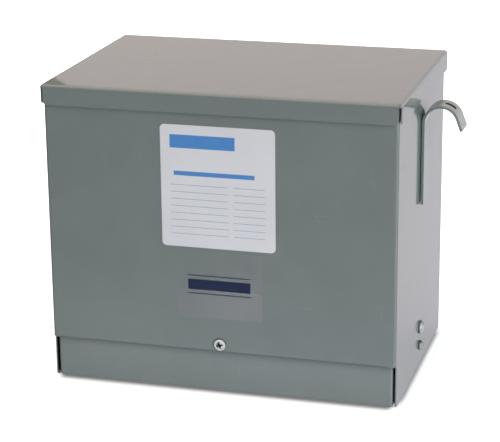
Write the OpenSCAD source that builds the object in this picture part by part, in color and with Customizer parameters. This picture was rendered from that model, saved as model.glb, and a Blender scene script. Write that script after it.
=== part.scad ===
// Dry-type three-phase transformer in a folded sheet-steel case with two lifting hooks
// Millimetres, +Z up, the front cover faces -Y, origin on the floor under the middle of the lid

/* [Case] */
// Width over the side walls
case_w = 400; // [320:1:520]
// Depth from the face of the cover to the back
case_d = 273; // [230:1:360]
// Height from the floor to the top of the lid
case_h = 347; // [280:1:460]
// Thickness of the sheet
sheet_t = 1.5; // [1:0.1:2]
// Inside radius of the folds
fold_r = 2.5; // [1:0.5:4]
// Width of the flanges that carry the back wall
rear_flange_w = 18; // [12:1:30]
// Radius on the lower front corners of the side walls
wall_corner_r = 5; // [2:0.5:10]

/* [Lid] */
// Height of the lid's flanges
lid_flange_h = 23; // [16:0.5:28]
// Overhang of the lid beside each side wall
lid_side_lap = 3; // [2.6:0.2:6]
// Overhang of the lid in front of the cover
lid_front_lap = 3.4; // [3.4:0.2:6]
// Overhang of the lid behind the back
lid_rear_lap = 4.2; // [2.6:0.2:6]
// Radius on the lower corners of the lid's flanges
lid_corner_r = 4.5; // [2:0.5:8]

/* [Front cover] */
// Height of the cover's lower edge above the floor
cover_bottom_z = 50; // [46:1:54]
// Inside radius of the cover's upright bends
cover_bend_r = 2.5; // [1.5:0.5:3.5]
// Depth of the cover's side returns
cover_return = 6; // [5.6:0.2:10]
// Inside radius of the cover's bottom lip
cover_lip_r = 0.8; // [0.6:0.1:2]
// Room over the cover, under the lid
cover_head_gap = 1; // [0.5:0.5:4]

/* [Base pan] */
// How far the sill stands behind the cover's face
sill_setback = 4.6; // [4:0.2:5.4]
// How far the sill runs up behind the cover
sill_lap = 22; // [18:1:40]
// Gap between the ends of the sill and the side walls
sill_end_gap = 2.4; // [1:0.2:6]
// Inside radius of the sill's bends
sill_bend_r = 2.5; // [1.5:0.5:4]
// Depth of the sill's end returns
sill_return = 12; // [8:1:20]
// Height of the pan's side and rear flanges
base_flange_h = 31; // [28:1:33]
// Diameter of the conduit knockouts in the floor
knockout_d = 28; // [20:1:35]
// Distance between the knockouts
knockout_pitch = 75; // [45:1:90]
// Distance of the knockouts behind the sill
knockout_back = 45; // [30:1:90]
// Width of the groove round a knockout
knockout_groove_w = 1.2; // [0.8:0.1:2]
// Sheet left over the groove
knockout_web_t = 0.6; // [0.4:0.1:0.8]

/* [Lifting hooks] */
// Width of the strap
strap_w = 31.5; // [24:0.5:40]
// Thickness of the strap
strap_t = 3; // [2:0.2:5]
// Height of the weld projections that hold the strap off the wall
weld_h = 1; // [0.4:0.1:1.6]
// Diameter of the weld projections
weld_d = 9; // [6:0.5:12]
// Distance of the outer welds from the ends of the straight strap
weld_inset = 18; // [12:1:30]
// Length of the straight strap below the curl
strap_l = 94.5; // [60:0.5:130]
// Inside radius of the curl
curl_r = 18; // [12:0.5:26]
// Room over the curl, under the lid's flange
curl_head_gap = 8.5; // [3:0.5:30]
// Lean of the hook's tip from the upright, in degrees
tip_lean = 20.5; // [5:0.5:35]
// Length of the straight tip
tip_l = 14.5; // [6:0.5:25]
// Width of the slot in the curl
slot_w = 7; // [3:0.5:8]
// Length of the slot in the curl
slot_l = 14; // [10:0.5:18]
// Place of the slot on the curl, in degrees from the level
slot_angle = 65; // [55:1:90]
// Distance of the hooks and side bolts behind the cover's face
lift_back = 141.8; // [100:0.1:170]

/* [Fasteners] */
// Diameter of the bolts and of the cover's screw
bolt_d = 6; // [5:0.5:7]
// Clearance round a bolt in its hole, on the radius
bolt_clear = 0.2; // [0.1:0.05:0.4]
// Height of the upper side bolts
upper_bolt_z = 46.5; // [43:0.5:48]
// Head diameter of the upper side bolts
upper_head_d = 15.5; // [10:0.5:16]
// Head height of the upper side bolts
upper_head_h = 5.4; // [3:0.2:6]
// Height of the lower side bolts
lower_bolt_z = 24; // [16:0.5:24]
// Head diameter of the lower side bolts
lower_head_d = 11.5; // [8:0.5:12]
// Head height of the lower side bolts
lower_head_h = 4.8; // [3:0.2:5.4]
// Height of the cover's screw above the cover's lower edge
screw_rise = 8.4; // [7:0.2:9]
// Head diameter of the cover's screw
screw_head_d = 13; // [10:0.5:13.5]
// Head height of the cover's screw
screw_head_h = 3.2; // [2.4:0.2:3.4]
// Height of the straight rim under the heads' crowns
head_rim = 1.6; // [1:0.1:2]
// Width of the driver slots
driver_w = 1.8; // [1.2:0.1:2.2]
// Depth of the driver slots
driver_depth = 1.9; // [1:0.1:2.2]
// Length of the cross in the cover's screw
cross_l = 7.6; // [5:0.2:9]
// Diameter of the funnel in the middle of that cross
cross_core_d = 4.6; // [3:0.2:6]
// Turn of that cross from the upright, in degrees
cross_turn = 15; // [0:1:90]
// Width across the flats of the nuts
nut_flats = 10; // [9:0.5:12]
// Thickness of the nuts
nut_t = 5; // [4:0.5:6]
// Length of a bolt past its nut
bolt_tail = 2; // [1:0.5:5]

/* [Core] */
// Height of the core angles' top
angle_top_z = 61; // [58:1:66]
// Height of the core angles' upright leg
angle_h = 27; // [25:1:28]
// Width of the core angles' level leg
angle_leg_w = 28; // [20:1:40]
// Thickness of the core angles
angle_t = 3; // [2:0.5:4]
// Inside radius of the core angles
angle_r = 3; // [2:0.5:5]
// Wiring space in front of the potted core
core_front_gap = 30; // [24:1:60]
// Clearance of the potted core and its shelf inside the walls
core_clear = 0.5; // [0.2:0.1:2]
// Room over the potted core, under the lid
core_head_gap = 12; // [4:1:40]
// Radius on the potted core's upright edges
core_edge_r = 6; // [3:1:12]

/* [Hidden] */
$fn = 64;

paint = [0.45, 0.48, 0.47];
zinc = [0.75, 0.76, 0.78];
resin = [0.16, 0.15, 0.15];

// How far a cutter or a joined piece runs past the face it meets
past = 0.5;
// Ledge on each face where the straight tip runs into the curl
tip_ledge = 0.02;

lid_w = case_w + 2 * lid_side_lap;
lid_d = case_d + lid_front_lap + lid_rear_lap;
lid_under_z = case_h - sheet_t;
front_y = -lid_d / 2 + lid_front_lap;
back_y = front_y + case_d;

fold_outer_r = fold_r + sheet_t;
wall_x = case_w / 2;
wall_inner_x = wall_x - sheet_t;
wall_front_y = front_y + cover_return;
panel_back_y = back_y - sheet_t;
panel_front_y = panel_back_y - sheet_t;
panel_w = 2 * (wall_inner_x - fold_r);

cover_outer_r = cover_bend_r + sheet_t;
cover_lip_outer_r = cover_lip_r + sheet_t;
cover_top_z = lid_under_z - cover_head_gap;

sill_y = front_y + sill_setback;
sill_w = 2 * (wall_inner_x - sill_end_gap);
sill_h = cover_bottom_z + sill_lap;
sill_outer_r = sill_bend_r + sheet_t;
flange_front_y = sill_y + sill_return;

lift_y = front_y + lift_back;
curl_x = weld_h + strap_t + curl_r;
curl_outer_r = curl_r + strap_t;
curl_z = case_h - lid_flange_h - curl_head_gap - curl_outer_r;
strap_foot_z = curl_z - strap_l;
weld_zs = [strap_foot_z + weld_inset, curl_z - weld_inset];

hole_r = bolt_d / 2 + bolt_clear;
screw_z = cover_bottom_z + screw_rise;

core_front_y = front_y + core_front_gap;
core_back_y = panel_front_y - core_clear;
core_w = 2 * (wall_inner_x - core_clear);
shelf_back_y = core_back_y - fold_r;
core_z = angle_top_z + sheet_t;
core_h = lid_under_z - core_head_gap - core_z;

// Quarter of a ring in the first quadrant, the section of a fold
module fold_section(inner_r, t) {
    intersection() {
        difference() {
            circle(r = inner_r + t);
            circle(r = inner_r);
        }
        square(inner_r + t);
    }
}

// L section with its outside corner at the origin and its legs along +X and +Y
module angle_section(leg_x, leg_y, inner_r, t) {
    outer_r = inner_r + t;
    translate([outer_r, outer_r]) rotate(180) fold_section(inner_r, t);
    translate([outer_r, 0]) square([leg_x - outer_r, t]);
    translate([0, outer_r]) square([t, leg_y - outer_r]);
}

// U section with its web on X, from the origin, and both legs along +Y
module channel_section(web, leg, inner_r, t) {
    angle_section(web / 2, leg, inner_r, t);
    translate([web, 0]) mirror([1, 0]) angle_section(web / 2, leg, inner_r, t);
}

// What comes off a corner at the origin to round it to r
module corner_waste(r) {
    difference() {
        translate([-past, -past]) square(r + past);
        translate([r, r]) circle(r = r);
    }
}

// Shell of an eighth of a ball in the first octant, a corner drawn round between two folds
module drawn_corner(inner_r, t) {
    intersection() {
        difference() {
            sphere(r = inner_r + t);
            sphere(r = inner_r);
        }
        cube(inner_r + t);
    }
}

// Section drawn in X and Z, run along Y
module along_y(y0, y1) {
    translate([0, y1, 0]) rotate([90, 0, 0]) linear_extrude(y1 - y0) children();
}

// Section drawn in Y and Z, run along X
module along_x(x0, x1) {
    translate([x0, 0, 0]) rotate([90, 0, 90]) linear_extrude(x1 - x0) children();
}

// The right-hand piece as drawn, or its mirror image on the left
module on_side(side) {
    if (side > 0) {
        children();
    } else {
        mirror([1, 0, 0]) children();
    }
}

// Round hole through a side wall and what lies inside it
module side_hole(z) {
    reach = sheet_t + angle_t + past;
    translate([wall_x - reach, lift_y, z]) rotate([0, 90, 0]) cylinder(r = hole_r, h = reach + past);
}

// Round hole for the cover's screw, from the cover's face to behind the sill
module screw_hole() {
    reach = sill_setback + sheet_t + past;
    translate([0, front_y + reach, screw_z]) rotate([90, 0, 0]) cylinder(r = hole_r, h = reach + past);
}

// Domed head on Z with its seat at the origin
module domed_head(d, h) {
    crown = h - head_rim;
    dome_r = (d * d / 4 + crown * crown) / (2 * crown);
    intersection() {
        cylinder(d = d, h = h);
        translate([0, 0, h - dome_r]) sphere(r = dome_r);
    }
}

// Driver slot along X, cut down from the origin
module driver_slot(length) {
    translate([-length / 2, -driver_w / 2, -driver_depth]) cube([length, driver_w, driver_depth + past]);
}

// Two crossed driver slots with a funnel where they meet
module driver_cross() {
    for (turn = [0, 90]) rotate(cross_turn + turn) driver_slot(cross_l);
    translate([0, 0, -driver_depth]) cylinder(d1 = driver_w, d2 = cross_core_d, h = driver_depth + past);
}

// Headed bolt on Z with its seat at the origin, its shank down to -length and the children cut into its crown
module bolt(head_d, head_h, length) {
    difference() {
        domed_head(head_d, head_h);
        translate([0, 0, head_h]) children();
    }
    translate([0, 0, -length]) cylinder(d = bolt_d, h = length);
}

// Hexagon nut on Z with its seat at the origin, standing down
module hex_nut() {
    translate([0, 0, -nut_t]) difference() {
        cylinder(d = nut_flats / cos(30), h = nut_t, $fn = 6);
        translate([0, 0, -past]) cylinder(r = hole_r, h = nut_t + 2 * past);
    }
}

// Places a fastener in the right-hand wall, its axis on X and its seat depth inside the face
module in_wall(z, depth) {
    translate([wall_x - depth, lift_y, z]) rotate([0, 90, 0]) children();
}

// Places a fastener in the cover, its axis on Y and its seat depth behind the face
module in_cover(depth) {
    translate([0, front_y + depth, screw_z]) rotate([90, 0, 0]) children();
}

// Groove under the floor that leaves a disc to be knocked out
module knockout_groove() {
    depth = sheet_t - knockout_web_t;
    difference() {
        translate([0, 0, -past]) cylinder(d = knockout_d, h = depth + past);
        translate([0, 0, -2 * past]) cylinder(d = knockout_d - 2 * knockout_groove_w, h = depth + 3 * past);
    }
}

// Floor, tall sill with rounded ends, and lower flanges at the sides and back
module base_pan() {
    sill_end_x = sill_w / 2 - sill_outer_r;
    color(paint) difference() {
        union() {
            // Sill with its end returns
            translate([-sill_w / 2, sill_y, sill_outer_r]) linear_extrude(sill_h - sill_outer_r)
                channel_section(sill_w, sill_return, sill_bend_r, sheet_t);
            // Fold between the sill and the floor
            along_x(-sill_end_x, sill_end_x) translate([sill_y + sill_outer_r, sill_outer_r])
                rotate(180) fold_section(sill_bend_r, sheet_t);
            // Folds under the end returns, and the drawn corners
            for (side = [-1, 1]) on_side(side) {
                along_y(sill_y + sill_outer_r, flange_front_y) translate([sill_end_x, sill_outer_r])
                    rotate(-90) fold_section(sill_bend_r, sheet_t);
                translate([sill_end_x, sill_y + sill_outer_r, sill_outer_r])
                    mirror([0, 1, 0]) mirror([0, 0, 1]) drawn_corner(sill_bend_r, sheet_t);
            }
            // Floor behind the sill
            translate([-sill_end_x, sill_y + sill_outer_r, 0])
                cube([2 * sill_end_x, panel_front_y - fold_outer_r - sill_y - sill_outer_r, sheet_t]);
            // Side flanges against the walls
            along_y(flange_front_y + fold_r, panel_front_y - fold_outer_r) translate([-wall_inner_x, 0])
                channel_section(2 * wall_inner_x, base_flange_h, fold_r, sheet_t);
            // Rear flange against the back wall
            along_x(-wall_inner_x + fold_outer_r, wall_inner_x - fold_outer_r) translate([panel_front_y, 0])
                mirror([1, 0]) angle_section(2 * fold_outer_r, base_flange_h, fold_r, sheet_t);
        }
        screw_hole();
        for (side = [-1, 1]) on_side(side) side_hole(lower_bolt_z);
        for (i = [-1 : 1])
            translate([i * knockout_pitch, sill_y + knockout_back, 0]) knockout_groove();
    }
}

// Side wall with the folded flange that carries the back wall
module side_wall(side) {
    color(paint) on_side(side) difference() {
        translate([wall_x, back_y, 0]) linear_extrude(lid_under_z) rotate(180)
            angle_section(rear_flange_w, back_y - wall_front_y, fold_r, sheet_t);
        along_x(wall_inner_x - past, wall_x + past) translate([wall_front_y, 0]) corner_waste(wall_corner_r);
        side_hole(upper_bolt_z);
        side_hole(lower_bolt_z);
    }
}

// Flat panel welded inside the side walls' rear flanges
module back_wall() {
    color(paint) translate([-panel_w / 2, panel_front_y, 0]) cube([panel_w, sheet_t, lid_under_z]);
}

// Removable cover with side returns and a bottom lip that meets the sill
module front_cover() {
    lip_x = wall_x - 2 * cover_outer_r;
    lip_top_z = cover_bottom_z + cover_lip_outer_r;
    color(paint) difference() {
        union() {
            // Face and side returns
            translate([-wall_x, front_y, lip_top_z]) linear_extrude(cover_top_z - lip_top_z)
                channel_section(case_w, cover_return, cover_bend_r, sheet_t);
            // Upright bends run on beside the lip
            for (side = [-1, 1]) on_side(side) translate([wall_x, front_y, cover_bottom_z])
                linear_extrude(2 * cover_lip_outer_r) mirror([1, 0])
                    angle_section(2 * cover_outer_r, cover_return, cover_bend_r, sheet_t);
            // Bottom lip between the bends
            along_x(-lip_x, lip_x) translate([front_y, cover_bottom_z])
                angle_section(sill_setback, 2 * cover_lip_outer_r, cover_lip_r, sheet_t);
        }
        screw_hole();
    }
}

// One pair of opposite lid flanges and the sheet between them, drawn in two axes
module lid_section(span) {
    translate([-span / 2, case_h]) mirror([0, 1]) channel_section(span, lid_flange_h, fold_r, sheet_t);
}

// Waste at both lower corners of a flange that ends at plus and minus half_length
module flange_corners(half_length) {
    for (end = [0, 1]) mirror([end, 0]) translate([half_length, case_h - lid_flange_h]) mirror([1, 0])
        corner_waste(lid_corner_r);
}

// Folded pan, its corners drawn round above and open between the flanges
module lid() {
    long_x = lid_w / 2 - fold_outer_r;
    long_y = lid_d / 2 - fold_outer_r;
    color(paint) union() {
        for (x_end = [0, 1], y_end = [0, 1]) mirror([x_end, 0, 0]) mirror([0, y_end, 0])
            translate([long_x, long_y, case_h - fold_outer_r]) drawn_corner(fold_r, sheet_t);
        difference() {
            along_x(-long_x, long_x) lid_section(lid_d);
            along_y(-lid_d / 2 - past, lid_d / 2 + past) flange_corners(long_x);
        }
        difference() {
            along_y(-long_y, long_y) lid_section(lid_w);
            along_x(-lid_w / 2 - past, lid_w / 2 + past) flange_corners(long_y);
        }
    }
}

// Edge line of the strap: straight up the wall, round the curl and down the leaning tip
module hook_section() {
    reach = 2 * curl_outer_r;
    translate([weld_h, strap_foot_z]) square([strap_t, curl_z - strap_foot_z]);
    translate([curl_x, curl_z]) {
        intersection() {
            difference() {
                circle(r = curl_outer_r);
                circle(r = curl_r);
            }
            translate([-reach, 0]) square([2 * reach, reach]);
            rotate(tip_lean) translate([-reach, 0]) square([2 * reach, reach]);
        }
        rotate(tip_lean) translate([curl_r + tip_ledge, -tip_l])
            square([strap_t - 2 * tip_ledge, tip_l + past]);
    }
}

// Round-ended slot square through the strap at one place on the curl
module curl_slot() {
    half_run = (slot_l - slot_w) / 2;
    depth = curl_outer_r + past;
    rotate([0, 90 - slot_angle, 0]) {
        translate([-half_run, -slot_w / 2, 0]) cube([2 * half_run, slot_w, depth]);
        for (end = [-1, 1]) translate([end * half_run, 0, 0]) cylinder(d = slot_w, h = depth);
    }
}

// Lifting hook bent from flat strap, projection welded to the wall
module hook(side) {
    color(paint) on_side(side) translate([wall_x, lift_y, 0]) {
        difference() {
            along_y(-strap_w / 2, strap_w / 2) hook_section();
            translate([curl_x, 0, curl_z]) curl_slot();
        }
        for (z = weld_zs) translate([0, 0, z]) rotate([0, 90, 0]) cylinder(d = weld_d, h = weld_h);
    }
}

// Cross-slotted screw that holds the cover to the sill
module cover_screw() {
    length = sill_setback + sheet_t + nut_t + bolt_tail;
    color(zinc) in_cover(0) bolt(screw_head_d, screw_head_h, length) driver_cross();
}

// Nut behind the sill for the cover's screw
module cover_nut() {
    color(zinc) in_cover(sill_setback + sheet_t) hex_nut();
}

// Slotted bolt through the wall and the core angle
module upper_bolt(side) {
    length = sheet_t + angle_t + nut_t + bolt_tail;
    color(zinc) on_side(side) in_wall(upper_bolt_z, 0) bolt(upper_head_d, upper_head_h, length)
        driver_slot(upper_head_d + past);
}

// Nut behind the core angle
module upper_nut(side) {
    color(zinc) on_side(side) in_wall(upper_bolt_z, sheet_t + angle_t) hex_nut();
}

// Slotted bolt through the wall and the base pan's flange
module lower_bolt(side) {
    length = 2 * sheet_t + nut_t + bolt_tail;
    color(zinc) on_side(side) in_wall(lower_bolt_z, 0) bolt(lower_head_d, lower_head_h, length)
        driver_slot(lower_head_d + past);
}

// Nut behind the base pan's flange
module lower_nut(side) {
    color(zinc) on_side(side) in_wall(lower_bolt_z, 2 * sheet_t) hex_nut();
}

// Angle bolted to the wall, under the shelf
module core_angle(side) {
    color(paint) on_side(side) difference() {
        along_y(core_front_y, shelf_back_y) translate([wall_inner_x, angle_top_z]) rotate(180)
            angle_section(angle_leg_w, angle_h, angle_r, angle_t);
        side_hole(upper_bolt_z);
    }
}

// Plate that closes the wiring space and carries the core
module core_shelf() {
    color(paint) translate([-core_w / 2, core_front_y, angle_top_z])
        cube([core_w, shelf_back_y - core_front_y, sheet_t]);
}

// Core and coils cast into one block of resin
module potted_core() {
    depth = shelf_back_y - core_front_y;
    color(resin) translate([0, core_front_y, core_z]) linear_extrude(core_h) difference() {
        translate([-core_w / 2, 0]) square([core_w, depth]);
        for (side = [0, 1]) mirror([side, 0]) {
            translate([core_w / 2, 0]) mirror([1, 0]) corner_waste(core_edge_r);
            translate([core_w / 2, depth]) rotate(180) corner_waste(core_edge_r);
        }
    }
}

base_pan();
side_wall(-1);  // left_wall
side_wall(1);  // right_wall
back_wall();
front_cover();
lid();
hook(-1);  // left_hook
hook(1);  // right_hook
cover_screw();
cover_nut();
upper_bolt(-1);  // left_upper_bolt
upper_nut(-1);  // left_upper_nut
lower_bolt(-1);  // left_lower_bolt
lower_nut(-1);  // left_lower_nut
upper_bolt(1);  // right_upper_bolt
upper_nut(1);  // right_upper_nut
lower_bolt(1);  // right_lower_bolt
lower_nut(1);  // right_lower_nut
core_angle(-1);  // left_core_angle
core_angle(1);  // right_core_angle
core_shelf();
potted_core();
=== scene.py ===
"""Looks of a dry-type transformer in a folded sheet-steel case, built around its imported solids.

Lengths are metres in the part's own frame: +Z up, the front cover faces -Y, the floor is Z = 0.
"""
import logging
import math
from dataclasses import dataclass
from enum import Enum
from typing import Dict, List, Optional, Sequence, Tuple, Union

import bmesh
import bpy
from mathutils import Matrix, Vector


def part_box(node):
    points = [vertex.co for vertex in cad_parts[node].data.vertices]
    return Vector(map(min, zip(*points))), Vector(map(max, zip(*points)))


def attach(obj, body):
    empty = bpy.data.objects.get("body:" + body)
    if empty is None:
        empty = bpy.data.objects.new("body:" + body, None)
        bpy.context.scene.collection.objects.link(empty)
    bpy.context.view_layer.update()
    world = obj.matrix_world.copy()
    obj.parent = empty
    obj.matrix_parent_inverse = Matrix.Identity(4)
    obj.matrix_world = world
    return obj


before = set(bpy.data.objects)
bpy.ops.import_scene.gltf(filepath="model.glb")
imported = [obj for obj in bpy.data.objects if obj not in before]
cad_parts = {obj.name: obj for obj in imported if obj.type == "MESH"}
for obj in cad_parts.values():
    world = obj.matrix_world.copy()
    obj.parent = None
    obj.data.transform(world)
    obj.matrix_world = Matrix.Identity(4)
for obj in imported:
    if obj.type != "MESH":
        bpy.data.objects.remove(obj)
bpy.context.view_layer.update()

LOG = logging.getLogger("transformer")
MM = 0.001
BODY = "root"

Socket = bpy.types.NodeSocket
Feed = Union[Socket, float, Sequence[float]]
Colour = Tuple[float, float, float]
Point = Tuple[float, float, float]

BLACK: Colour = (0.0, 0.0, 0.0)
WHITE: Colour = (1.0, 1.0, 1.0)
# Near black for the painted shade that the sill gaps, hook slots and fastener heads take by default.
PAINTED_SHADE: Colour = (0.018, 0.017, 0.015)


class Slot(Enum):
    """Material slots of the record, one for each label."""

    LABEL = "label_print"
    FILM = "clear_film"


class Blend(Enum):
    """How a value runs between two limits."""

    STRAIGHT = "LINEAR"
    SOFT = "SMOOTHSTEP"


class Facing(Enum):
    """The axis that a fastener lies on, 0 for X and 1 for Y, and the way that its head looks along it."""

    RIGHT = (0, 1)
    FRONT = (1, -1)


@dataclass(frozen=True)
class Grain:
    """A noise pattern: features per metre, finer layers, their share, and the limits of its patches."""

    scale: Feed
    detail: float = 2.0
    roughness: float = 0.5
    low: float = 0.0
    high: float = 1.0


CLOUDS = Grain(16.0, 4.0, 0.6, 0.3, 0.7)
PEEL = Grain(420.0, 1.0, 0.4)
WAVES = Grain(7.0, 1.0, 0.3)
DUST_PATCHES = Grain(34.0, 5.0, 0.65, 0.35, 0.75)
SCUFFED_AREAS = Grain(21.0, low=0.58, high=0.7)
SHADE_EDGE = Grain(900.0)
CHIP_EDGE = Grain(500.0, 3.0)
RUNS = Grain(75.0, 3.0, 0.6, 0.32, 0.68)
SPANGLE = Grain(520.0, 4.0, 0.6, 0.35, 0.65)
STAINS = Grain(170.0, 3.0, low=0.52, high=0.7)
SAND = Grain(700.0, 3.0, 0.6, 0.45, 0.62)
THIN_INK = Grain(2600.0, 1.0, low=0.2, high=0.6)


def tinted(colour: Colour, by: float, way: Colour = WHITE) -> Colour:
    """Scales a colour up, or down where by is negative, with a share of that for each channel."""
    red, green, blue = (c * (1.0 + by * k) for c, k in zip(colour, way))
    return red, green, blue


class Shade:
    """Short calls that build one shader node tree."""

    def __init__(self, tree: bpy.types.NodeTree) -> None:
        """Starts from an empty tree of a material, world or group."""
        self.tree = tree
        self.tree.nodes.clear()

    def add(self, kind: str, *inputs: Feed, **settings: object) -> bpy.types.Node:
        """Adds a node.

        Args:
            kind: Blender's name of the node type.
            inputs: what its first inputs get, in order.
            settings: the node's own properties.

        Returns:
            The new node.
        """
        node = self.tree.nodes.new(kind)
        for name, value in settings.items():
            setattr(node, name, value)
        for socket, value in zip(node.inputs, inputs):
            self.feed(socket, value)
        return node

    def feed(self, socket: Socket, value: Feed) -> None:
        """Links a socket to an input, or sets the input's own value.

        Args:
            socket: the input.
            value: an output socket, a number, or the parts of a colour or vector.
        """
        if isinstance(value, bpy.types.NodeSocket):
            self.tree.links.new(value, socket)
        elif isinstance(value, (int, float)):
            socket.default_value = value
        else:
            parts = tuple(value)
            wants = len(socket.default_value)
            socket.default_value = parts + (1.0,) * (wants - len(parts))

    def fill(self, node: bpy.types.Node, **values: Feed) -> bpy.types.Node:
        """Feeds inputs of a node by name.

        Args:
            node: the node.
            values: its inputs, with underscores for spaces.

        Returns:
            The node.
        """
        for name, value in values.items():
            self.feed(node.inputs[name.replace("_", " ")], value)
        return node

    def use(self, group: bpy.types.NodeTree, **values: Feed) -> bpy.types.NodeOutputs:
        """Places a node group, fills its inputs and gives its outputs."""
        return self.fill(self.add("ShaderNodeGroup", node_tree=group), **values).outputs

    def math(self, operation: str, a: Feed, b: Feed = 0.0) -> Socket:
        """Gives the result of one of Blender's operations on one or two values."""
        return self.add("ShaderNodeMath", a, b, operation=operation).outputs[0]

    def product(self, *values: Feed) -> Feed:
        """Multiplies values together.

        Args:
            values: two or more values.

        Returns:
            Their product.
        """
        result = values[0]
        for value in values[1:]:
            result = self.math("MULTIPLY", result, value)
        return result

    def less(self, a: Feed, b: Feed) -> Socket:
        """Gives a less b."""
        return self.math("SUBTRACT", a, b)

    def more(self, base: Feed, value: Feed, share: Feed) -> Socket:
        """Gives a base with a share of a value added."""
        return self.math("ADD", base, self.product(value, share))

    def within(self, value: Feed, low: Feed, high: Feed) -> Feed:
        """Gives 1 where a value lies between two limits."""
        return self.product(self.math("GREATER_THAN", value, low), self.math("LESS_THAN", value, high))

    def hypotenuse(self, a: Feed, b: Feed) -> Socket:
        """Gives the long side over two square ones."""
        return self.math("SQRT", self.math("ADD", self.product(a, a), self.product(b, b)))

    def span(self, value: Feed, low: Feed, high: Feed, start: Feed = 0.0, end: Feed = 1.0,
             blend: Blend = Blend.SOFT) -> Socket:
        """Maps a value, with low to start and high to end, and holds it there."""
        return self.add("ShaderNodeMapRange", value, low, high, start, end,
                        interpolation_type=blend.value, clamp=True).outputs[0]

    def mix(self, share: Feed, a: Feed, b: Feed) -> Socket:
        """Mixes two colours.

        Args:
            share: how much of b.
            a: colour at 0.
            b: colour at 1.

        Returns:
            The mixed colour.
        """
        node = self.add("ShaderNodeMix", share, data_type="RGBA")
        for label, colour in (("A", a), ("B", b)):
            self.feed(next(s for s in node.inputs if s.name == label and s.type == "RGBA"), colour)
        return next(s for s in node.outputs if s.type == "RGBA")

    def noise(self, place: Feed, grain: Grain) -> Socket:
        """Gives a noise pattern about 0.5 at coordinates in metres."""
        node = self.add("ShaderNodeTexNoise", noise_dimensions="3D")
        return self.fill(node, Vector=place, Scale=grain.scale, Detail=grain.detail,
                         Roughness=grain.roughness).outputs[0]

    def patches(self, place: Feed, grain: Grain, start: float = 0.0, end: float = 1.0) -> Socket:
        """Gives soft patches of a noise pattern, with start between them and end in them."""
        return self.span(self.noise(place, grain), grain.low, grain.high, start, end)

    def stretch(self, place: Feed, by: Sequence[float]) -> Socket:
        """Scales coordinates along the axes."""
        return self.add("ShaderNodeVectorMath", place, by, operation="MULTIPLY").outputs[0]

    def distance(self, a: Feed, b: Feed) -> Socket:
        """Gives the distance between two points."""
        return self.add("ShaderNodeVectorMath", a, b, operation="DISTANCE").outputs["Value"]

    def parts(self, vector: Feed) -> Tuple[Socket, ...]:
        """Splits a vector into its three parts."""
        return tuple(self.add("ShaderNodeSeparateXYZ", vector).outputs)

    def place(self) -> Socket:
        """Gives coordinates in the part's frame, which every piece's own frame is."""
        return self.add("ShaderNodeTexCoord").outputs["Object"]

    def upward(self) -> Socket:
        """Gives how far a face looks up, 1 for a level top."""
        return self.parts(self.add("ShaderNodeNewGeometry").outputs["Normal"])[2]

    def rays(self) -> Tuple[Socket, Socket]:
        """Gives 1 on rays from the camera, and 1 on rays that a mirror or glass sends on."""
        path = self.add("ShaderNodeLightPath").outputs
        return (path["Is Camera Ray"],
                self.math("MAXIMUM", path["Is Glossy Ray"], path["Is Transmission Ray"]))

    def bump(self, height: Feed) -> Socket:
        """Turns a height in metres into a normal."""
        node = self.fill(self.add("ShaderNodeBump"), Strength=1.0, Distance=1.0, Height=height)
        return node.outputs["Normal"]

    def surface(self, shader: bpy.types.Node, output: str = "ShaderNodeOutputMaterial") -> None:
        """Links a shader to the tree's output."""
        self.add(output, shader.outputs[0])


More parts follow.
